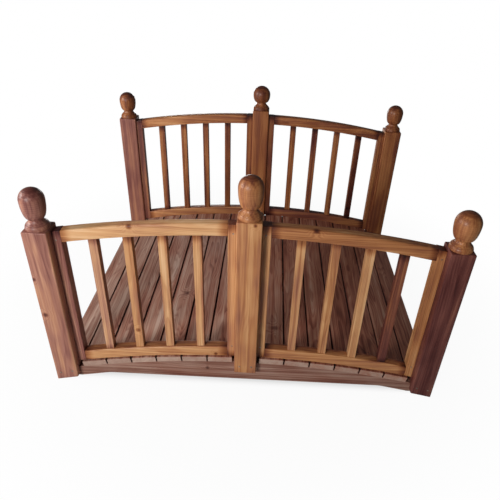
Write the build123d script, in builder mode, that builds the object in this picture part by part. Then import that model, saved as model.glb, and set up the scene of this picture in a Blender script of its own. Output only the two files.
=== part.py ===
"""A small arched garden bridge in stained softwood.

Three arched stringers stand on feet at both ends of the span and carry a deck of cross boards.
Six square posts with turned finials lap over the outer stringers, and four framed railing panels
with arched rails and square balusters stand on the deck between the posts.

X runs along the bridge, Y across it and Z up. The origin is on the ground under the middle of the
bridge. Lengths are in millimetres.
"""

import os
from math import cos, sin, sqrt

from build123d import *

# Deck
board_count = 15
board_width = 95.0
board_gap = 5.0
board_thickness = 25.0
board_edge_radius = 3.0
board_overhang = 2.0
deck_radius = 3250.0

# Stringers
stringer_thickness = 38.0
relief_height = 23.0
foot_length = 80.0
foot_slope_run = 115.0
foot_slope_radius = 120.0
stringer_end_inset = 8.0

# Posts
post_size = 84.0
post_length = 668.5
post_lap = 28.5
post_end_overhang = 2.5
post_edge_chamfer = 3.0
post_cheek = 27.0
bridge_width = 1255.0

# Railing panels
panel_inset = 34.0
rail_height = 44.0
rail_depth = 38.0
rail_chamfer = 4.0
top_rail_radius = 3500.0
top_rail_drop = 12.5
stile_width = 30.0
baluster_size = 30.0
baluster_count = 4

# Finials: each was turned by hand, so its ball has a radius and a height of its own
finial_balls = {
    ("front", "left"): (40.5, 102.0),
    ("front", "centre"): (41.5, 105.0),
    ("front", "right"): (43.5, 95.0),
    ("back", "left"): (40.0, 88.0),
    ("back", "centre"): (43.5, 75.0),
    ("back", "right"): (41.0, 90.0),
}
finial_egg_foot_radius = 25.5
finial_egg_foot_height = 37.0
finial_neck_radius = 23.0
finial_neck_height = 33.0
finial_dome_radius = 33.0
finial_dome_height = 18.5
finial_base_radius = 40.5
finial_base_edge = 3.0

# Clearances between curved faces that meet
seat_gap = 0.3

board_pitch = board_width + board_gap
posts_per_side = 3
boards_per_bay = (board_count - 1) // (posts_per_side - 1)
half_deck = board_count * board_pitch / 2
outer_face = bridge_width / 2
stringer_outer_face = outer_face - post_cheek
post_inner_face = outer_face - post_size
panel_middle = outer_face - panel_inset - rail_depth / 2


def drop(radius, x):
    """How far an arch of this radius has fallen from its crest at a place along the bridge."""
    return radius - sqrt(radius**2 - x**2)


def height(arch, x):
    """Height of an arch above the ground at a place along the bridge."""
    radius, crest = arch
    return crest - drop(radius, x)


deck_end = deck_radius * sin((half_deck - board_gap / 2) / deck_radius)
stringer_end = deck_end - stringer_end_inset
end_post = deck_end + post_end_overhang - post_size / 2
post_places = {"left": -end_post, "centre": 0.0, "right": end_post}

# An arch is a radius and the height of its crest. The posts' feet are cut to an arch that meets
# the ground at the end posts' outer corners.
stringer_radius = deck_radius - board_thickness
post_foot = (stringer_radius, drop(stringer_radius, end_post + post_size / 2))
stringer_top = (stringer_radius, post_foot[1] + post_lap)
deck_top = (deck_radius, stringer_top[1] + board_thickness)
post_seat = (stringer_radius + seat_gap, stringer_top[1] + seat_gap)

# A flat board on the arch stands proud of it at its long edges, so the railing is lifted clear.
board_sagitta = sqrt(deck_radius**2 + (board_width / 2) ** 2) - deck_radius
lift = board_sagitta + seat_gap
bottom_rail_low = (deck_radius + lift, deck_top[1] + lift)
bottom_rail_high = (bottom_rail_low[0] + rail_height, bottom_rail_low[1] + rail_height)

post_tops = {name: height(post_foot, x) + post_length for name, x in post_places.items()}
top_rail_end = end_post - post_size / 2
top_rail_crest = post_tops["right"] - top_rail_drop + drop(top_rail_radius, top_rail_end)
top_rail_high = (top_rail_radius, top_rail_crest)
top_rail_low = (top_rail_radius - rail_height, top_rail_crest - rail_height)
baluster_low = (bottom_rail_high[0] + seat_gap, bottom_rail_high[1] + seat_gap)
baluster_high = (top_rail_low[0] - seat_gap, top_rail_low[1] - seat_gap)


def deck_point(arc_length):
    """Place and slope of the deck top at a length measured along it from the crown."""
    slope = arc_length / deck_radius
    return deck_radius * sin(slope), height(deck_top, deck_radius * sin(slope)), slope


def board_name(index):
    return f"deck_board_{index + 1:02d}"


def side_plane(y):
    """A plane that looks along the bridge's side, at a distance across the bridge."""
    return Plane.XZ.offset(-y)


def arch_point(arch, x):
    return (x, height(arch, x))


def add_arched_face(low, high, start, end):
    """Adds to the sketch the area between two arches, from one place along the bridge to another."""
    middle = (start + end) / 2
    with BuildLine() as outline:
        ThreePointArc(*(arch_point(low, x) for x in (start, middle, end)))
        ThreePointArc(*(arch_point(high, x) for x in (start, middle, end)))
        Line(arch_point(low, start), arch_point(high, start))
        Line(arch_point(low, end), arch_point(high, end))
    make_face(outline.edges())


def make_board(index):
    x, z, slope = deck_point((index + 0.5) * board_pitch - half_deck)
    between_posts = index % boards_per_bay == 0
    half_length = post_inner_face - seat_gap if between_posts else stringer_outer_face + board_overhang
    across = Plane(origin=(x, 0, z), x_dir=(cos(slope), 0, -sin(slope)), z_dir=(0, -1, 0))
    with BuildPart() as board:
        with BuildSketch(across):
            Rectangle(board_width, board_thickness, align=(Align.CENTER, Align.MAX))
            fillet(vertices().group_by(Axis.Y)[-1], board_edge_radius)
        extrude(amount=half_length, both=True)
    return board.part


def make_stringer(y):
    """An arched bearer: its top carries the boards and its underside is relieved between two feet."""
    end = stringer_end
    foot = end - foot_length
    slope_top = foot - foot_slope_run
    with BuildPart() as stringer:
        with BuildSketch(side_plane(y)):
            with BuildLine():
                ThreePointArc(*(arch_point(stringer_top, x) for x in (-end, 0, end)))
                Polyline(
                    arch_point(stringer_top, -end),
                    (-end, 0),
                    (-foot, 0),
                    (-slope_top, relief_height),
                    (slope_top, relief_height),
                    (foot, 0),
                    (end, 0),
                    arch_point(stringer_top, end),
                )
            make_face()
            hollow_corners = [v for v in vertices() if v.Y == relief_height]
            fillet(hollow_corners, foot_slope_radius)
        extrude(amount=stringer_thickness / 2, both=True)
    return stringer.part


def make_post(place, side):
    """A square post, notched over the stringer so that its outer cheek laps it."""
    x = post_places[place]
    start, end = x - post_size / 2, x + post_size / 2
    under_post = (deck_radius, -deck_radius)
    with BuildPart() as post:
        with BuildSketch():
            with Locations((x, side * (outer_face - post_size / 2))):
                Rectangle(post_size, post_size)
        extrude(amount=post_tops[place])
        upright = edges().filter_by(Axis.Z)
        crown = faces().sort_by(Axis.Z)[-1].edges()
        chamfer(upright + crown, post_edge_chamfer)
        with BuildSketch(side_plane(side * outer_face)):
            add_arched_face(under_post, post_foot, start, end)
        extrude(amount=post_size, both=True, mode=Mode.SUBTRACT)
        with BuildSketch(side_plane(side * (post_inner_face + stringer_outer_face) / 2)):
            add_arched_face(under_post, post_seat, start, end)
        extrude(amount=(stringer_outer_face - post_inner_face) / 2, both=True, mode=Mode.SUBTRACT)
    return post.part


def make_finials(side_name, side):
    """Turned finials: a flared round base, a narrow neck and an egg that is widest near its top."""
    egg_foot = (finial_egg_foot_radius, finial_egg_foot_height)
    neck = (finial_neck_radius, finial_neck_height)
    dome = (finial_dome_radius, finial_dome_height)
    base = (finial_base_radius, finial_base_edge)
    with BuildPart() as finials:
        for place, x in post_places.items():
            ball_radius, ball_height = ball = finial_balls[side_name, place]
            top = (0, ball_height + ball_radius)
            foot = (x, side * (outer_face - post_size / 2), post_tops[place])
            with BuildSketch(Plane(origin=foot, x_dir=(1, 0, 0), z_dir=(0, -1, 0))):
                with BuildLine():
                    Line((0, 0), (finial_base_radius, 0))
                    Line((finial_base_radius, 0), base)
                    TangentArc(base, dome, tangent=(0, 1))
                    TangentArc(neck, dome, tangent=(0.25, -1))
                    Line(neck, egg_foot)
                    TangentArc(ball, egg_foot, tangent=(0, -1))
                    TangentArc(ball, top, tangent=(0, 1))
                    Line(top, (0, 0))
                make_face()
            revolve(axis=Axis(foot, (0, 0, 1)))
    return finials.part


def bay_ends(bay):
    """Where a bay's two posts leave off, from its left end to its right end."""
    half = post_size / 2
    return (half - end_post, -half) if bay == "left" else (half, end_post - half)


def make_rail(bay, side, low, high):
    """An arched rail that butts between the panel's two stiles, with its top edges eased."""
    start, end = bay_ends(bay)
    with BuildPart() as rail:
        with BuildSketch(side_plane(side * panel_middle)):
            add_arched_face(low, high, start + stile_width, end - stile_width)
        extrude(amount=rail_depth / 2, both=True)
        top = faces().filter_by(GeomType.CYLINDER).sort_by(Axis.Z)[-1]
        long_edges = top.edges().filter_by(GeomType.CIRCLE)
        chamfer(long_edges, rail_chamfer)
    return rail.part


def make_stiles(bay, side):
    """The two upright ends of a panel, cut to the deck's arch below and the top rail's above."""
    start, end = bay_ends(bay)
    with BuildPart() as stiles:
        with BuildSketch(side_plane(side * panel_middle)):
            add_arched_face(bottom_rail_low, top_rail_high, start, start + stile_width)
            add_arched_face(bottom_rail_low, top_rail_high, end - stile_width, end)
        extrude(amount=rail_depth / 2, both=True)
    return stiles.part


def make_balusters(bay, side):
    """Square balusters, evenly spaced between the stiles and cut to the rails' arches."""
    start, end = bay_ends(bay)
    clear = end - start - 2 * stile_width - baluster_count * baluster_size
    step = baluster_size + clear / (baluster_count + 1)
    first = start + stile_width + step - baluster_size
    with BuildPart() as balusters:
        with BuildSketch(side_plane(side * panel_middle)):
            for place in range(baluster_count):
                left = first + place * step
                add_arched_face(baluster_low, baluster_high, left, left + baluster_size)
        extrude(amount=baluster_size / 2, both=True)
    return balusters.part


def all_pieces():
    """Every piece of the bridge by name."""
    pieces = {}
    for index in range(board_count):
        pieces[board_name(index)] = make_board(index)
    stringer_place = stringer_outer_face - stringer_thickness / 2
    for name, y in (("front", -stringer_place), ("middle", 0), ("back", stringer_place)):
        pieces[f"stringer_{name}"] = make_stringer(y)
    for side_name, side in (("front", -1), ("back", 1)):
        pieces[f"finials_{side_name}"] = make_finials(side_name, side)
        for place in post_places:
            pieces[f"post_{side_name}_{place}"] = make_post(place, side)
        for bay in ("left", "right"):
            panel = f"{side_name}_{bay}"
            pieces[f"bottom_rail_{panel}"] = make_rail(bay, side, bottom_rail_low, bottom_rail_high)
            pieces[f"top_rail_{panel}"] = make_rail(bay, side, top_rail_low, top_rail_high)
            pieces[f"stiles_{panel}"] = make_stiles(bay, side)
            pieces[f"balusters_{panel}"] = make_balusters(bay, side)
    return pieces


os.makedirs("parts", exist_ok=True)
pieces = all_pieces()
for name, piece in pieces.items():
    piece.label = name
    export_step(piece, f"parts/{name}.step")
print("pieces written:", len(pieces))
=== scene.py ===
# %% [markdown]
# # A small arched garden bridge
#
# The real bridge is stained and varnished softwood: a deck of cross boards on arched stringers,
# six square posts with turned finials, and four railing panels. The shape comes from a CAD model.
# This notebook dresses that model. It eases the sharp edges, turns the finials, drives the screws
# and gives every stick of timber its own grain and its own shade of stain.

import math
import random

import bmesh
import bpy
from mathutils import Matrix, Vector


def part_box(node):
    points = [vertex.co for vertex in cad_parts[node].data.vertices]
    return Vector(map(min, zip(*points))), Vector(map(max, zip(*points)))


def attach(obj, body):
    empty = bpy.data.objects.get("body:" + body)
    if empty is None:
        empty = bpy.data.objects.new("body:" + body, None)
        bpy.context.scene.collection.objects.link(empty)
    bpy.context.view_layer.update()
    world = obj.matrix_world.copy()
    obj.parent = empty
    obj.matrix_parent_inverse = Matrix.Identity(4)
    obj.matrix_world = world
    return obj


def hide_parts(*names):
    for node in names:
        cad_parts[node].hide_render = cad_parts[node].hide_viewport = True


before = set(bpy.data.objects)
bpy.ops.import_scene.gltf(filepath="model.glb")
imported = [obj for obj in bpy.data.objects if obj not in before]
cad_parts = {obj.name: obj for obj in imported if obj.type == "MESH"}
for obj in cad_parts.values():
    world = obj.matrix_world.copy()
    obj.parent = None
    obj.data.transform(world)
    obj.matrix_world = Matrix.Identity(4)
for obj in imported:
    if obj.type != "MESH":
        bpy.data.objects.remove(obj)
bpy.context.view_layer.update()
chance = random.Random(7)

# %% [markdown]
# ## Shader maths as Python
#
# A wood finish is mostly arithmetic on patterns. It could be wired by hand in the shader editor, but
# dozens of Math nodes are hard to read there. So a small class wraps a node's output, and ordinary
# operators on it add the nodes.


# %% A wire between shader nodes
class Wire:
    """An output of a shader node. Arithmetic on it adds Math nodes to the same tree."""

    def __init__(self, tree, socket=None):
        self.tree, self.socket = tree, socket

    def node(self, kind, settings, sockets, output=0):
        """Adds a node of any kind: first its settings, then what its sockets get."""
        made = self.tree.nodes.new(kind)
        for name, setting in settings.items():
            if name == "stops":
                ramp = made.color_ramp.elements
                while len(ramp) < len(setting):
                    ramp.new(1.0)
                for stop, (place, colour) in zip(ramp, setting):
                    stop.position, stop.color = place, (*colour, 1)
            else:
                setattr(made, name, setting)
        for name, value in sockets.items():
            if isinstance(value, Wire):
                self.tree.links.new(value.socket, made.inputs[name])
            else:
                made.inputs[name].default_value = value
        return Wire(self.tree, made.outputs[output])

    def math(self, operation, first, second=0.0):
        return self.node("ShaderNodeMath", {"operation": operation}, {0: first, 1: second})

    def __add__(self, other):
        return self.math("ADD", self, other)

    def __sub__(self, other):
        return self.math("SUBTRACT", self, other)

    def __rsub__(self, other):
        return self.math("SUBTRACT", other, self)

    def __mul__(self, other):
        return self.math("MULTIPLY", self, other)

    def __truediv__(self, other):
        return self.math("DIVIDE", self, other)

    __radd__, __rmul__ = __add__, __mul__

    def step(self, low, high):
        """Rises smoothly from 0 at low to 1 at high."""
        return self.node(
            "ShaderNodeMapRange", {"interpolation_type": "SMOOTHSTEP"},
            {"Value": self, "From Min": low, "From Max": high},
        )

    def vector_math(self, operation, second, output=0):
        sockets = {0: self, 1: second}
        return self.node("ShaderNodeVectorMath", {"operation": operation}, sockets, output)

    def part(self, index):
        """One of a vector's three numbers."""
        return self.node("ShaderNodeSeparateXYZ", {}, {0: self}, index)

    def colour(self, stops):
        return self.node("ShaderNodeValToRGB", {"stops": stops}, {"Fac": self})

    def blend(self, first, second):
        """Mixes two colours: this wire is the share of the second one."""
        return self.node(
            "ShaderNodeMix", {"data_type": "RGBA"}, {0: self, 6: first, 7: second}, output=2
        )


print("shader helper ready")

# %% [markdown]
# ## The stain's colours
#
# Softwood takes stain unevenly, so one brown won't do. A picture of wood would bring all its browns
# along, but it repeats, and it has the light of another place in it. Here colour ramps run from bare
# sapwood to the darkest pools of stain. The railings have a golden ramp and a rosy one. The deck,
# which weathers faster, has a grey one and a red one. A stick's depth says how far along the ramps
# it is, and its blush says how much of the redder ramp it gets.

# %% Colour ramps
golden_stain = (
    (0.00, (0.840, 0.560, 0.320)),
    (0.20, (0.680, 0.365, 0.165)),
    (0.40, (0.465, 0.190, 0.070)),
    (0.60, (0.255, 0.080, 0.027)),
    (0.80, (0.110, 0.027, 0.012)),
    (1.00, (0.028, 0.007, 0.005)),
)
rosy_stain = (
    (0.00, (0.760, 0.530, 0.420)),
    (0.20, (0.580, 0.315, 0.220)),
    (0.40, (0.378, 0.168, 0.121)),
    (0.60, (0.195, 0.064, 0.050)),
    (0.80, (0.088, 0.020, 0.017)),
    (1.00, (0.026, 0.006, 0.006)),
)
grey_stain = (
    (0.00, (0.520, 0.360, 0.285)),
    (0.25, (0.355, 0.212, 0.160)),
    (0.50, (0.215, 0.110, 0.080)),
    (0.75, (0.095, 0.040, 0.030)),
    (1.00, (0.028, 0.011, 0.010)),
)
red_stain = (
    (0.00, (0.550, 0.300, 0.205)),
    (0.25, (0.370, 0.145, 0.090)),
    (0.50, (0.195, 0.060, 0.037)),
    (0.75, (0.088, 0.022, 0.015)),
    (1.00, (0.026, 0.006, 0.006)),
)
print("ramps:", [len(ramp) for ramp in (golden_stain, rosy_stain, grey_stain, red_stain)])

# %% [markdown]
# ## The grain
#
# A stick of softwood is cut out of a log, so its surface shows where the log's yearly rings pass
# through it. Stripes drawn on each face would do from afar, but they wouldn't meet at the corners.
# So the rings are worked out in the log itself. An attribute called grain gives each point its
# distance along the log and its two distances from the log's heart, and the rings are the distance
# from the heart, split into years. Late wood is darker than early wood and ends sharply. Slow noise
# along the log makes the rings wander, and a knot, which is a branch's foot, pushes them aside.

# %% Rings, streaks and knots
noise_range = (0.28, 0.72)  # nearly all values of the noise lie between these
knot_reach = (0.4, 4.0)  # a knot's push on the rings fades between these, in its own radii
knot_core = (0.15, 1.7)  # and so does its dark core between these
years_pushed = 2.6
late_wood_starts, late_wood_ends = (0.20, 0.85), (0.88, 1.0)  # in shares of a year


def drawn_noise(grain, along, across, detail=3.0):
    """Noise drawn out along the timber, spread to fill 0 to 1. Its scales are counts a metre."""
    drawn = grain.vector_math("MULTIPLY", (along, across, across))
    noise = grain.node(
        "ShaderNodeTexNoise", {},
        {"Vector": drawn, "Scale": 1.0, "Detail": detail, "Roughness": 0.55},
    )
    return noise.step(*noise_range)


def yearly_rings(grain, year, wander, knots):
    """How much late wood there is at each point, and the dark cores of the knots."""
    place = grain.node("ShaderNodeTexCoord", {}, {}, "Object")
    sideways = grain.vector_math("MULTIPLY", (0.0, 1.0, 1.0))
    from_heart = sideways.vector_math("LENGTH", (0, 0, 0), "Value")
    years = from_heart / year + drawn_noise(grain, 1.7, 11.0, detail=2.0) * wander
    cores = None
    for x, y, z, radius in knots:
        away = place.vector_math("DISTANCE", (x, y, z), "Value") / radius
        years = years + (1.0 - away.step(*knot_reach)) * years_pushed
        core = 1.0 - away.step(*knot_core)
        cores = core if cores is None else grain.math("MAXIMUM", cores, core)
    in_year = grain.math("FRACT", years)
    strength = grain.node(
        "ShaderNodeTexWhiteNoise", {"noise_dimensions": "1D"}, {"W": grain.math("FLOOR", years)}
    )
    band = in_year.step(*late_wood_starts) * (1.0 - in_year.step(*late_wood_ends))
    return band * (strength * 0.8 + 0.3), cores


print("grain helpers ready")

# %% [markdown]
# ## The finish
#
# Rings, streaks, blotches, knots and edge wear all push one number, the stain's depth, up or down
# before the ramps turn it into a colour. Each effect could be a shader of its own, mixed over the
# last, but real stain works the first way: where it soaks in, the wood gets darker and redder
# together. Stain pools where a stick meets its neighbour, and it soaks into the bottom rails' tops,
# which also get painted shade of the balusters. The balusters' right sides get painted shade too,
# and the deck's gaps are darkened as painted shade, while the boards' sawn ends have weathered paler
# and greyer. The varnish on top is a thin satin coat, so the grain still shows in the relief.

# %% Stained wood
fibre_tone, blotch_tone, knot_tone = 0.05, 0.15, 0.42  # what these add to the stain's depth
blotch_blush, streak_blush = 0.45, 0.40
cut_quiet = 0.75  # how much of the lengthwise pattern an end grain face loses
pool_reach, pool_raggedness = (0.003, 0.045), 0.014  # in metres from a stick's end
satin = 0.36  # the varnish's lowest roughness
relief_height = 0.0005


def stained_wood(
    name, ramps, year, rings, streaks, streak_count, soak=0.24, coat=0.12,
    edge_tone=-0.06, end_tone=0.10, end_fade=0.0, lathe=0.0, wander=3.0, knots=(),
):
    """A finish for one kind of timber.

    ramps: the plain colours and the redder ones. year: a yearly ring's width in metres.
    streak_count: streaks in a metre across the grain. wander: how many years the rings wander by.
    coat: how much varnish there is. The rest pushes the stain's depth up or down. rings, streaks:
    along the grain. soak: near a stick's ends, where stain pools, and on its marked
    side, as painted shade, with stain soaking into the bottom rails' tops. edge_tone: on eased edges
    and gap faces, as wear on the railing and as painted shade in the deck's gaps. end_tone: on end
    grain, where end_fade takes blush away. lathe: in lines round a turned piece.
    """
    material = bpy.data.materials.new(name)
    material.use_nodes = True
    tree = material.node_tree
    surface = tree.nodes["Principled BSDF"]
    start = Wire(tree)

    def attribute(word, output="Fac"):
        return start.node("ShaderNodeAttribute", {"attribute_name": word}, {}, output)

    grain = attribute("grain", "Vector")
    late_wood, cores = yearly_rings(grain, year, wander, knots)
    wide = drawn_noise(grain, 1.1, streak_count)
    narrow = drawn_noise(grain, 2.6, streak_count * 3.1, detail=2.0)
    fibres = drawn_noise(grain, 16.0, 900.0, detail=2.0)
    blotches = drawn_noise(grain, 4.0, 12.0, detail=2.0)

    to_ends = attribute("to_ends", "Vector")
    nearest = start.math("MINIMUM", to_ends.part(0), to_ends.part(1))
    pooled = 1.0 - (nearest + blotches * pool_raggedness).step(*pool_reach)
    # pooled stain near the ends, plus the marked side: painted shade on the balusters' right sides,
    # stain soaking in and painted shade on the bottom rails' tops
    soaked = pooled + attribute("soaked") * (0.3 + blotches * 0.4)
    cut = attribute("end_grain")

    pattern = (late_wood - 0.3) * rings + (fibres - 0.5) * fibre_tone
    pattern = pattern + (wide - 0.5) * streaks + (narrow - 0.5) * (streaks * 0.4)
    depth = attribute("stain") + pattern * (1.0 - cut * cut_quiet) + (blotches - 0.5) * blotch_tone
    depth = depth + soaked * soak + cut * end_tone
    # eased and gap faces: lighter as edge wear on the railing, darker as painted shade on the deck
    depth = depth + attribute("worn") * (0.3 + blotches) * edge_tone
    if cores is not None:
        depth = depth + cores * knot_tone
    if lathe:
        turned = drawn_noise(grain, 420.0, 1.0, detail=1.0)
        depth = depth + (turned - 0.5) * lathe
    uneven = (blotches - 0.5) * blotch_blush + (wide - 0.5) * streak_blush
    blush = attribute("blush") + uneven - cut * end_fade
    colour = blush.step(0.0, 1.0).blend(depth.colour(ramps[0]), depth.colour(ramps[1]))
    tree.links.new(colour.socket, surface.inputs["Base Color"])

    roughness = satin + narrow * 0.12 + fibres * 0.06
    tree.links.new(roughness.socket, surface.inputs["Roughness"])
    relief = late_wood * 0.6 + fibres * 0.35 + narrow * 0.4
    if lathe:
        relief = relief + turned * 0.5
    bump = start.node(
        "ShaderNodeBump", {}, {"Strength": 0.5, "Distance": relief_height, "Height": relief}
    )
    tree.links.new(bump.socket, surface.inputs["Normal"])
    surface.inputs["Coat Weight"].default_value = coat
    surface.inputs["Coat Roughness"].default_value = 0.28
    surface.inputs["Specular IOR Level"].default_value = 0.22
    return material


print("finish helper ready")

# %% [markdown]
# ## Knots
#
# A knot is the foot of a branch, cut through by the saw. Scattering them at random would put some
# where the real bridge has none, so each has its own place and radius. They sit on the outer faces
# of the rails, posts and stringers and on top of the deck. Those in front are where the photograph
# shows knots, and the others are guesses.

# %% Places of the knots
rail_knots = (
    (-0.3973, -0.5920, 0.7000, 0.0085),
    (-0.4082, -0.5895, 0.2467, 0.0075),
    (0.2187, -0.5920, 0.7212, 0.0095),
    (-0.1162, -0.5935, 0.1473, 0.0065),
    (0.5210, 0.5545, 0.2100, 0.0080),
)
post_knots = (
    (-0.7277, -0.6275, 0.3319, 0.0085),
    (-0.7380, -0.6275, 0.4900, 0.0070),
    (0.0188, -0.6275, 0.7479, 0.0055),
    (-0.6850, 0.6275, 0.3900, 0.0090),
    (0.0120, 0.6275, 0.5200, 0.0080),
)
deck_knots = (
    (-0.2916, -0.1994, 0.1273, 0.0120),
    (0.1133, -0.4189, 0.1384, 0.0125),
    (0.4200, 0.2200, 0.1130, 0.0100),
    (-0.5200, 0.3300, 0.0980, 0.0090),
)
stringer_knots = (
    (-0.1489, -0.6005, 0.0769, 0.0070),
    (0.3300, 0.6005, 0.0700, 0.0080),
)
print("knots:", [len(knots) for knots in (rail_knots, post_knots, deck_knots, stringer_knots)])

# %% [markdown]
# ## Five finishes
#
# The bridge has one stain, but its five kinds of timber took it differently. Thin rails have close
# rings and soak up much stain at their joints, the finials have lathe marks and more varnish, and
# the deck's rings stand out most. Five materials could be made by hand, but one helper with five
# sets of numbers does it too, and a change to the wood then has to be made only once.

# %% Finishes
railing_stain, deck_stain = (golden_stain, rosy_stain), (grey_stain, red_stain)
finishes = {
    "post_wood": stained_wood(
        "post_wood", railing_stain, year=0.0062, rings=0.08, streaks=0.20, streak_count=38.0,
        soak=0.07, knots=post_knots,
    ),
    "finial_wood": stained_wood(
        "finial_wood", railing_stain, year=0.0070, rings=0.06, streaks=0.20, streak_count=50.0,
        soak=0.12, coat=0.20, lathe=0.10,
    ),
    "rail_wood": stained_wood(
        "rail_wood", railing_stain, year=0.0056, rings=0.10, streaks=0.24, streak_count=60.0,
        soak=0.34, knots=rail_knots,
    ),
    "stringer_wood": stained_wood(
        "stringer_wood", deck_stain, year=0.0070, rings=0.16, streaks=0.32, streak_count=75.0,
        knots=stringer_knots,
    ),
    # edge_tone here darkens the gap faces and eased edges as painted shade
    "deck_wood": stained_wood(
        "deck_wood", deck_stain, year=0.0072, rings=0.20, streaks=0.28, streak_count=62.0,
        soak=0.12, edge_tone=0.45, end_tone=-0.29, end_fade=0.60, wander=5.0, knots=deck_knots,
    ),
}
print("finishes:", list(finishes))

# %% [markdown]
# ## From a CAD solid to a stick of timber
#
# A CAD solid has perfect corners, and no real timber does: sawn edges are eased with a plane or a
# sanding block, and that thin worn band catches the light. The CAD mesh itself stays as it is. A
# merged copy of it is bevelled along its sharp edges, which is quicker than modelling each stick
# again and keeps every stick exactly where the CAD model says.

# %% Easing the edges
sharp_corner = math.radians(20)
flat_enough = math.radians(0.4)
same_point = 1e-5  # in metres


def merged_copy(node):
    """A solid's triangles as one closed mesh with whole faces."""
    stick = bmesh.new()
    stick.from_mesh(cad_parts[node].data)
    bmesh.ops.remove_doubles(stick, verts=stick.verts, dist=same_point)
    bmesh.ops.dissolve_limit(
        stick, angle_limit=flat_enough, verts=stick.verts, edges=stick.edges
    )
    return stick


def ease_edges(stick, width):
    """Rounds the sharp edges, and says which faces the rounding made."""
    sharp = [e for e in stick.edges if e.is_manifold and e.calc_face_angle() > sharp_corner]
    made = bmesh.ops.bevel(
        stick, geom=sharp, offset=width, offset_type="OFFSET", segments=3, profile=0.5,
        affect="EDGES", clamp_overlap=True, material=-1,
    )
    bmesh.ops.dissolve_degenerate(stick, dist=same_point, edges=stick.edges)
    return {face for face in made["faces"] if face.is_valid}


print("edge helpers ready")

# %% [markdown]
# ## Where each stick lay in its log
#
# The finish needs to know how each stick was cut. Several sticks can share one mesh, so the mesh is
# first sorted into its connected parts. Each part then gets its own place in a log, its own depth of
# stain and blush, its distances to its two ends, and marks on its end grain, on its eased and gap
# faces, which get edge wear or painted shade, and on the side that gets painted shade, which on the
# bottom rails' tops is soaking stain as well. The shader could read the point's place in the scene
# instead, but then the grain would run on from stick to stick. Attributes turn with the stick and
# differ from the next.

# %% Giving sticks their grain
axes = {"X": Vector((1, 0, 0)), "Y": Vector((0, 1, 0)), "Z": Vector((0, 0, 1))}
faces_squarely, faces_roughly = 0.8, 0.3  # cosines of the angle from a face's normal to an axis


def separate_sticks(mesh):
    """The mesh's connected parts as lists of vertices, from left to right."""
    left, sticks = set(mesh.verts), []
    while left:
        found, edge = set(), [left.pop()]
        while edge:
            vert = edge.pop()
            found.add(vert)
            edge += [v for e in vert.link_edges for v in e.verts if v not in found]
        left -= found
        sticks.append(sorted(found, key=lambda v: v.index))
    return sorted(sticks, key=lambda verts: sum(v.co.x for v in verts) / len(verts))


def give_grain(
    mesh, along, stains, eased_faces=(), gap_axis=None, soaked_side=None,
    heart_distance=(0.05, 0.11), heart_angle=(0, math.tau),
):
    """Writes what the finish reads, for the sticks of one mesh.

    along: the axis that they run along. stains: the depth and blush of each, from left to right.
    gap_axis: faces that look along it, either way, lie in a gap and get painted shade on the deck.
    soaked_side: faces that look along it get painted shade, and on the bottom rails' tops stain
    soaking in as well. heart_distance, heart_angle: where the log's heart may lie, seen from a
    stick's middle.
    """
    grain = mesh.verts.layers.float_vector.new("grain")
    to_ends = mesh.verts.layers.float_vector.new("to_ends")
    depth = mesh.verts.layers.float.new("stain")
    blush = mesh.verts.layers.float.new("blush")
    end_grain = mesh.faces.layers.float.new("end_grain")
    worn = mesh.faces.layers.float.new("worn")
    soaked = mesh.faces.layers.float.new("soaked")
    mesh.verts.index_update()
    axis = axes[along]
    across = [a for name, a in axes.items() if name != along]
    for verts, stain in zip(separate_sticks(mesh), stains):
        centre = sum((v.co for v in verts), Vector()) / len(verts)
        angle, distance = chance.uniform(*heart_angle), chance.uniform(*heart_distance)
        heart = (distance * math.cos(angle), distance * math.sin(angle))
        shift = chance.uniform(0, 40)
        reach = max(abs((v.co - centre).dot(axis)) for v in verts)
        for v in verts:
            away = v.co - centre
            here = away.dot(axis)
            from_heart = [away.dot(a) + h for a, h in zip(across, heart)]
            v[grain] = (here + shift, *from_heart)
            v[to_ends] = (reach + here, reach - here, 0)
            v[depth], v[blush] = stain
    # gap and eased faces get edge wear on the railing and painted shade on the deck; the marked side
    # gets painted shade, and on the bottom rails' tops soaking stain as well
    for face in mesh.faces:
        is_cut = abs(face.normal.dot(axis)) > faces_squarely
        in_gap = gap_axis and abs(face.normal.dot(axes[gap_axis])) > faces_roughly
        on_soak_and_shade_side = soaked_side and face.normal.dot(axes[soaked_side]) > faces_squarely
        face[end_grain] = 1.0 if is_cut else 0.0
        face[worn] = 1.0 if in_gap or face in eased_faces else 0.0
        face[soaked] = 1.0 if on_soak_and_shade_side else 0.0


print("grain attributes ready")

# %% [markdown]
# ## Handing a piece over
#
# A finished mesh becomes an object at the origin. It rides on the bridge's one body, stands for its
# CAD node, and carries its finish. Gentle curves are shaded smooth and corners stay crisp. A
# modifier could choose them by angle as well, but marked edges are stored in the mesh and stay with
# it wherever it goes.

# %% Finishing a piece
smooth_limit = math.radians(14)


def finish_piece(mesh, name, material, nodes=()):
    """Makes the mesh a piece of the bridge. Screws stand for no CAD node and have no slot."""
    for face in mesh.faces:
        face.smooth = True
    for edge in mesh.edges:
        edge.smooth = not edge.is_manifold or edge.calc_face_angle() < smooth_limit
    data = bpy.data.meshes.new(name)
    mesh.to_mesh(data)
    mesh.free()
    data.materials.append(material)
    piece = bpy.data.objects.new(name, data)
    bpy.context.collection.objects.link(piece)
    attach(piece, "root")
    if nodes:
        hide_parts(*nodes)


def dress(node, slot, along, stains, ease=0.002, **cut):
    """A CAD node as timber. ease is the eased band's width, and cut goes on to give_grain."""
    stick = merged_copy(node)
    worn = ease_edges(stick, ease)
    give_grain(stick, along, stains, worn, **cut)
    finish_piece(stick, node + "_dressed", finishes[slot], [node])


print("piece helpers ready")

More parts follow.
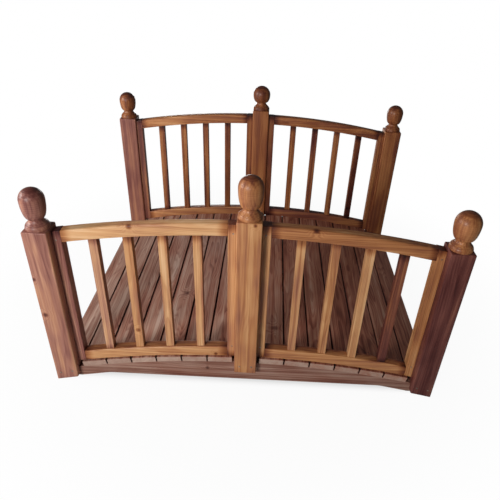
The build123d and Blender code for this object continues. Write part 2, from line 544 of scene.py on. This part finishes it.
# %% [markdown]
# ## Stringers
#
# A stringer carries the deck. It could be bent from thin layers, and then its grain would follow the
# arch. The photograph shows one that is sawn from a wide plank: the grain runs straight along the
# bridge and runs out at the arched top. So the log lies along X, with its heart well away from the
# plank, which keeps the rings nearly straight.

# %% Stringers
stringer_stains = {"front": (0.38, 0.35), "middle": (0.50, 0.4), "back": (0.46, 0.45)}
for side, stain in stringer_stains.items():
    dress(f"stringer_{side}", "stringer_wood", "X", [stain], heart_distance=(0.12, 0.2))
print("stringers dressed:", len(stringer_stains))

# %% [markdown]
# ## Deck boards
#
# The boards are flat-sawn: the log's heart lies a little below each board, so its rings come up
# through the top face as long arches. No two boards take stain alike. Those on the left have
# weathered to a mauve grey, and those on the right are a red brown. Fifteen stains could be written
# out, but the change is even, so the blush drifts along the bridge and chance moves each board's
# depth a little. The faces along the gaps and the eased edges are darkened as painted shade.

# %% Deck boards
narrow_ease = 0.0015
straight_below = (math.radians(-110), math.radians(-70))
first_depth, depth_drift, depth_chance = 0.30, 0.03, 0.05
first_blush, blush_drift = 0.28, 0.84
board_nodes = sorted(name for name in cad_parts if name.startswith("deck_board"))
for index, node in enumerate(board_nodes):
    share = index / (len(board_nodes) - 1)
    depth = first_depth + depth_drift * share + chance.uniform(-depth_chance, depth_chance)
    blush = first_blush + blush_drift * share
    dress(
        node, "deck_wood", "Y", [(depth, blush)], ease=narrow_ease, gap_axis="X",
        heart_distance=(0.02, 0.06), heart_angle=straight_below,
    )
print("boards dressed:", len(board_nodes))

# %% [markdown]
# ## Posts
#
# The posts are planed square stock, so their edges are eased less than the railing's. A post could
# be a new cube, but its foot is notched over the stringer, and the CAD solid has that already. The
# front left one has gone pinkish, the front centre one is a warm orange brown, and the front right
# one is the darkest piece of the bridge, a deep maroon. The stains were judged.

# %% Posts
post_stains = {
    # place: depth and blush
    "front_left": (0.42, 0.80), "front_centre": (0.39, 0.20), "front_right": (0.69, 1.0),
    "back_left": (0.53, 0.80), "back_centre": (0.54, 0.0), "back_right": (0.56, 0.10),
}
for place, stain in post_stains.items():
    dress(f"post_{place}", "post_wood", "Z", [stain], ease=narrow_ease)
print("posts dressed:", len(post_stains))

# %% [markdown]
# ## Railing panels
#
# A panel is joinery: two arched rails between two stiles, and four balusters. Its sticks come from
# different planks, so one stain for a whole panel would look moulded, and each stick gets its own.
# The left front panel is the palest, and its rails are golden; its left stile is darker and more
# mauve, partly as painted shade of the post beside it. One baluster at the far right is nearly as
# dark as the post beside it. Rain lies on the bottom rails, so stain soaks into their tops, which
# also get painted shade of the balusters. The balusters' right sides get painted shade.

# %% Railing panels
panel_stains = {
    # panel: top rail, bottom rail, the two stiles, the four balusters
    "front_left": (
        # the left stile's deep mauve stain is partly painted shade of the front left post
        (0.21, 0.05), (0.31, 0.10), ((0.48, 1.0), (0.385, 0.35)),
        ((0.20, 0.35), (0.33, 0.20), (0.26, 0.20), (0.31, 0.25)),
    ),
    "front_right": (
        (0.43, 0.0), (0.40, 0.20), ((0.36, 0.25), (0.38, 0.0)),
        ((0.32, 0.20), (0.34, 0.05), (0.25, 0.0), (0.67, 0.6)),
    ),
    "back_left": (
        (0.50, 0.0), (0.37, 0.10), ((0.52, 0.6), (0.62, 0.3)),
        ((0.60, 0.3), (0.58, 0.15), (0.62, 0.25), (0.64, 0.15)),
    ),
    "back_right": (
        (0.56, 0.10), (0.62, 0.5), ((0.68, 0.5), (0.56, 0.15)),
        ((0.62, 0.15), (0.70, 0.5), (0.54, 0.05), (0.72, 0.3)),
    ),
}
for panel, (top, bottom, stiles, balusters) in panel_stains.items():
    dress(f"top_rail_{panel}", "rail_wood", "X", [top])
    # the bottom rails' tops: stain soaking in, and painted shade of the balusters
    dress(f"bottom_rail_{panel}", "rail_wood", "X", [bottom], soaked_side="Z")
    dress(f"stiles_{panel}", "rail_wood", "Z", stiles)
    # the balusters' right sides: painted shade
    dress(f"balusters_{panel}", "rail_wood", "Z", balusters, soaked_side="X")
print("panels dressed:", len(panel_stains))

# %% [markdown]
# ## Finials
#
# A finial is turned on a lathe, so half its outline is enough: spinning that outline round the
# post's middle gives the whole form. Each CAD node holds three finials, and the height and radius
# of each ball are read from it, because hand-turned finials differ. Two fine grooves on the flared
# base and a crease under the egg are where the turner's tool rested.

# %% The finial's outline
egg_steps, crown_steps = 10, 14


def finial_outline(radius, ball_height):
    """Half of a finial's outline from the post's top up, as (radius, height) in metres."""
    outline = [
        # the base's flat foot and rim
        (0.0, 0.0), (0.0395, 0.0), (0.0405, 0.0010), (0.0405, 0.0032),
        # up to the lower groove and out of it
        (0.0403, 0.0052), (0.0399, 0.0070), (0.0391, 0.0080), (0.0392, 0.0092), (0.0384, 0.0116),
        # up to the upper groove and out of it
        (0.0372, 0.0139), (0.0356, 0.0158), (0.0342, 0.0166), (0.0338, 0.0176), (0.0322, 0.0194),
        # the cove
        (0.0290, 0.0222), (0.0260, 0.0258), (0.0240, 0.0296), (0.0230, 0.0330),
        # the crease under the egg
        (0.0229, 0.0346), (0.0236, 0.0358), (0.0255, 0.0370),
    ]
    foot_radius, foot_height = outline[-1]
    for step in range(1, egg_steps):
        angle = step / egg_steps * math.pi / 2
        rise = (ball_height - foot_height) * (1 - math.cos(angle))
        outline.append((foot_radius + (radius - foot_radius) * math.sin(angle), foot_height + rise))
    for step in range(crown_steps):
        angle = step / crown_steps * math.pi / 2
        outline.append((radius * math.cos(angle), ball_height + radius * math.sin(angle)))
    return outline + [(0.0, ball_height + radius)]


print("outline points:", len(finial_outline(0.04, 0.1)))

# %% [markdown]
# ## Spinning the outline
#
# On a lathe the wood turns and the tool stays. Here the outline turns: a Screw modifier could do it,
# and so can the mesh's own spin, which gives the closed mesh that the grain is written on. The seam
# and the two poles are merged afterwards, so the skin has no slit. The log's heart lies outside
# the egg, which gives it long ovals of grain in place of a bull's-eye.

# %% Turning the finials
spin_steps = 64
seam_width = 1e-6  # in metres
finial_stains = {
    "front": ((0.51, 0.85), (0.48, 0.12), (0.49, 0.0)),
    "back": ((0.64, 0.25), (0.66, 0.15), (0.64, 0.15)),
}
for side, stains in finial_stains.items():
    node = f"finials_{side}"
    turned = bmesh.new()
    solid = merged_copy(node)
    for verts in separate_sticks(solid):
        low = Vector([min(v.co[i] for v in verts) for i in range(3)])
        high = Vector([max(v.co[i] for v in verts) for i in range(3)])
        radius = (high.x - low.x) / 2
        axis = Vector(((high.x + low.x) / 2, (high.y + low.y) / 2, low.z))
        outline = finial_outline(radius, high.z - low.z - radius)
        points = [turned.verts.new(axis + Vector((r, 0, z))) for r, z in outline]
        edges = [turned.edges.new(pair) for pair in zip(points, points[1:])]
        bmesh.ops.spin(
            turned, geom=points + edges, cent=axis, axis=(0, 0, 1), angle=math.tau,
            steps=spin_steps, use_merge=True,
        )
    solid.free()
    bmesh.ops.remove_doubles(turned, verts=turned.verts, dist=seam_width)
    bmesh.ops.recalc_face_normals(turned, faces=turned.faces)
    give_grain(turned, "Z", stains, heart_distance=(0.05, 0.09))
    finish_piece(turned, node + "_turned", finishes["finial_wood"], [node])
print("finials turned:", sum(len(s) for s in finial_stains.values()))

# %% [markdown]
# ## Screws
#
# Two screws hold each post's cheek to the stringer, and two more draw each stile to its post. They
# are zinc-plated steel that some of the stain has run over. Plain grey metal would look new and
# pasted on, so fine noise mixes clean zinc with brown grime, which is duller and less metallic.

# %% Screw steel
clean_to_grimy = (
    (0.0, (0.55, 0.48, 0.40)),
    (0.6, (0.34, 0.26, 0.19)),
    (1.0, (0.16, 0.09, 0.06)),
)
spots_per_metre = 420.0


def screw_steel():
    """Zinc plate with stain and dirt on it."""
    material = bpy.data.materials.new("screw_steel")
    material.use_nodes = True
    tree = material.node_tree
    surface = tree.nodes["Principled BSDF"]
    place = Wire(tree).node("ShaderNodeTexCoord", {}, {}, "Object")
    grime = place.node(
        "ShaderNodeTexNoise", {}, {"Vector": place, "Scale": spots_per_metre, "Detail": 3.0}
    ).step(0.35, 0.65)
    tree.links.new(grime.colour(clean_to_grimy).socket, surface.inputs["Base Color"])
    tree.links.new((0.32 + grime * 0.30).socket, surface.inputs["Roughness"])
    tree.links.new((1.0 - grime * 0.5).socket, surface.inputs["Metallic"])
    return material


steel = screw_steel()
print("screw finish:", steel.name)

# %% [markdown]
# ## Screw heads
#
# Only the heads show: a bevelled rim, a flat face and a cross recess. The recess could be cut with a
# boolean, but at this size that leaves slivers. Instead five rings of twelve points are bridged,
# from the head's hidden back over the rim and down into the recess. Twelve points are just enough
# for a plus sign, with two at each arm's tip and one at each inner corner.

# %% Screw heads
ring_points = 12
cross_tip, cross_corner = 0.55, 0.20  # in shares of the ring's radius
head_rings = (
    # share of the head's radius, height in metres, whether it is a plus sign
    (1.00, -0.0010, False),
    (1.00, 0.0001, False),
    (0.86, 0.0003, False),
    (1.00, 0.0003, True),
    (0.85, -0.0009, True),
)


def screw_head(mesh, place, outward, radius):
    """A screw head that looks along outward, with its cross turned by chance."""
    spin = Matrix.Rotation(chance.uniform(0, 1.5), 4, "Z")
    turn = outward.to_track_quat("Z", "Y").to_matrix().to_4x4() @ spin
    rings = []
    for share, rise, is_cross in head_rings:
        size = radius * share
        made = bmesh.ops.create_circle(mesh, cap_ends=False, segments=ring_points, radius=size)
        for index, vert in enumerate(made["verts"]):
            angle = math.radians((index - 0.5) * 360 / ring_points)
            reach = size
            if is_cross:
                reach *= cross_corner if index % 3 == 2 else cross_tip
            vert.co = Vector((reach * math.cos(angle), reach * math.sin(angle), rise))
        rings.append(made["verts"])
        bmesh.ops.transform(mesh, matrix=Matrix.Translation(place) @ turn, verts=made["verts"])
    for pair in zip(rings, rings[1:]):
        rims = {
            edge for ring in pair for vert in ring for edge in vert.link_edges
            if all(end in ring for end in edge.verts)
        }
        bmesh.ops.bridge_loops(mesh, edges=list(rims))
    mesh.faces.new(rings[-1])
    mesh.faces.new(rings[0])


def drive_screws(name, places):
    """One piece of many screws, each given by its place, the way it looks and its radius."""
    mesh = bmesh.new()
    for place, outward, radius in places:
        screw_head(mesh, Vector(place), Vector(outward), radius)
    bmesh.ops.recalc_face_normals(mesh, faces=mesh.faces)
    finish_piece(mesh, name, steel)
    print(name, "screws:", len(places))


print("screw helpers ready")

# %% [markdown]
# ## Driving the screws
#
# The screws' places could be listed one by one. But a carpenter measures from an edge, and so does
# this cell: the posts' screws sit a little above the posts' feet, and the stiles' screws sit above
# the deck and below the top rail's crown. All three follow arches. An arch so flat falls away from
# its crest by x squared over twice its radius, so its height at any place is quickly found.

# %% Driving the screws
# each arch: the height of its crest and its radius, in metres
post_foot_arch, deck_arch, top_rail_arch = (0.0869, 3.225), (0.1407, 3.25), (0.7283, 3.5)
post_screw_radius, post_screw_shares, above_foot = 0.0042, (0.24, 0.78), 0.032
stile_screw_radius, from_stile_edge, above_deck, below_top_rail = 0.0032, 0.012, 0.052, 0.034


def arch_height(arch, x):
    """The height of a flat arch x metres from the middle of the bridge."""
    crest, radius = arch
    return crest - x * x / (2 * radius)


post_places, stile_places = [], []
for place in post_stains:
    low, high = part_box(f"post_{place}")
    side = -1 if place.startswith("front") else 1
    face = low[1] if side < 0 else high[1]
    for share in post_screw_shares:
        x = low[0] + (high[0] - low[0]) * share
        height = arch_height(post_foot_arch, x) + above_foot
        post_places.append(((x, face, height), (0, side, 0), post_screw_radius))
for panel in panel_stains:
    low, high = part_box(f"stiles_{panel}")
    side = -1 if panel.startswith("front") else 1
    face = low[1] if side < 0 else high[1]
    for x in (low[0] + from_stile_edge, high[0] - from_stile_edge):
        low_screw = arch_height(deck_arch, x) + above_deck
        high_screw = arch_height(top_rail_arch, x) - below_top_rail
        for height in (low_screw, high_screw):
            stile_places.append(((x, face, height), (0, side, 0), stile_screw_radius))
drive_screws("post_screws", post_places)
drive_screws("stile_screws", stile_places)

# %% [markdown]
# ## Floor
#
# The photograph's background is cut away to white. A white floor under bright lamps would do that
# too, but it would light the bridge from below. So the floor is a matt light grey, and it glows
# white only for the camera's own rays, which adds no light to the wood. Under the bridge it doesn't
# glow, because there the deck's gaps have to show the dark, and near the bridge a faint shadow stays.

# %% Floor
floor_reach = 60.0
floor_grey = 0.60
dark_half_length, dark_half_width = (0.66, 0.76), (0.52, 0.62)  # where the glow begins and is full
shadow_reach, glow_in_shadow = (0.8, 1.6), 0.95


def stage_floor():
    """Lays a wide floor, which isn't part of the bridge."""
    mesh = bmesh.new()
    bmesh.ops.create_grid(mesh, x_segments=1, y_segments=1, size=floor_reach)
    data = bpy.data.meshes.new("floor")
    mesh.to_mesh(data)
    mesh.free()
    ground = bpy.data.objects.new("floor", data)
    bpy.context.collection.objects.link(ground)
    paint = bpy.data.materials.new("floor_paint")
    paint.use_nodes = True
    tree = paint.node_tree
    tree.nodes.remove(tree.nodes["Principled BSDF"])
    wire = Wire(tree)
    place = wire.node("ShaderNodeTexCoord", {}, {}, "Object")
    distance = place.vector_math("LENGTH", (0, 0, 0), "Value")
    past_ends = wire.math("ABSOLUTE", place.part(0)).step(*dark_half_length)
    past_sides = wire.math("ABSOLUTE", place.part(1)).step(*dark_half_width)
    outside = wire.math("MAXIMUM", past_ends, past_sides)
    share = outside * (glow_in_shadow + distance.step(*shadow_reach) * (1 - glow_in_shadow))
    matt = wire.node("ShaderNodeBsdfDiffuse", {}, {"Color": (floor_grey, floor_grey, floor_grey, 1)})
    glow = wire.node("ShaderNodeEmission", {}, {"Color": (1, 1, 1, 1), "Strength": 1.0})
    seen = wire.node("ShaderNodeLightPath", {}, {}, "Is Camera Ray")
    mixed = wire.node("ShaderNodeMixShader", {}, {0: seen * share, 1: matt, 2: glow})
    tree.links.new(mixed.socket, tree.nodes["Material Output"].inputs["Surface"])
    data.materials.append(paint)


stage_floor()
print("floor laid")

# %% [markdown]
# ## Surroundings
#
# The camera sees white all round, as in the cut-out photograph. White surroundings would also light
# the bridge from every side and lay a pale veil on the varnish. So they are white for the camera's
# rays, and through clear things, but give the bridge only a weak fill light, and very little of them
# is mirrored in its coat.

# %% World
fill_light = 0.07
mirrored_share = 0.08
world = bpy.data.worlds.new("studio")
bpy.context.scene.world = world
world.use_nodes = True
tree = world.node_tree
wire = Wire(tree)
seen = wire.node("ShaderNodeLightPath", {}, {}, "Is Camera Ray")
cleared = wire.node("ShaderNodeLightPath", {}, {}, "Is Transmission Ray")
mirrored = wire.node("ShaderNodeLightPath", {}, {}, "Is Glossy Ray")
shown = wire.math("MAXIMUM", wire.math("MAXIMUM", seen, cleared), mirrored * mirrored_share)
strength = shown * (1 - fill_light) + fill_light
tree.links.new(strength.socket, tree.nodes["Background"].inputs["Strength"])
tree.nodes["Background"].inputs["Color"].default_value = (1, 1, 1, 1)
print("surroundings set")

# %% [markdown]
# ## Lamps
#
# The photograph's light comes from the left in front, low enough for the upright faces to be
# brighter than the deck. A sun lamp would draw hard shadows that the photograph doesn't have, so a
# large soft disk does it. A second one at the left rakes across the deck and the finials, and a
# weak third one behind lights the far sides for the views from there.


# %% Lamps
def area_lamp(name, place, target, size, power):
    """A round lamp, size metres across, that looks from its place to its target."""
    lamp = bpy.data.lights.new(name, "AREA")
    lamp.shape, lamp.size, lamp.energy = "DISK", size, power
    holder = bpy.data.objects.new(name, lamp)
    holder.location = place
    holder.rotation_mode = "QUATERNION"
    holder.rotation_quaternion = (Vector(target) - Vector(place)).to_track_quat("-Z", "Y")
    bpy.context.collection.objects.link(holder)


area_lamp("key", place=(-1.55, -3.1, 1.65), target=(-0.1, -0.4, 0.4), size=1.1, power=74)
area_lamp("left", place=(-2.7, -0.5, 1.40), target=(-0.3, 0.0, 0.3), size=1.3, power=50)
area_lamp("behind", place=(-0.8, 3.5, 0.5), target=(0.0, 0.5, 0.4), size=0.9, power=24)

# %% [markdown]
# ## Camera
#
# A camera can be placed by eye, but then every edge is a little off. This one's place, turn and
# focal length were fitted by least squares to edges of the bridge in the photograph. Its optical
# centre lies a little off the middle of the frame, which a small shift takes up.

# %% Camera
photo_width = 500
focal_pixels = 488.88
optical_centre = (264.47, 247.19)
camera_place = (0.04647, -1.96767, 1.52433)
yaw, pitch, roll = (math.radians(angle) for angle in (-0.18, 32.51, 3.01))
camera_data = bpy.data.cameras.new("camera")
camera_data.sensor_width = 36.0
camera_data.lens = camera_data.sensor_width * focal_pixels / photo_width
camera_data.shift_x = (photo_width / 2 - optical_centre[0]) / photo_width
camera_data.shift_y = (optical_centre[1] - photo_width / 2) / photo_width
camera = bpy.data.objects.new("camera", camera_data)
turn = (
    Matrix.Rotation(yaw, 4, "Z")
    @ Matrix.Rotation(math.pi / 2 - pitch, 4, "X")
    @ Matrix.Rotation(roll, 4, "Z")
)
camera.matrix_world = Matrix.Translation(camera_place) @ turn
bpy.context.collection.objects.link(camera)
bpy.context.scene.camera = camera
bpy.context.scene.view_settings.view_transform = "Standard"
print("camera at", tuple(round(v, 3) for v in camera.location))
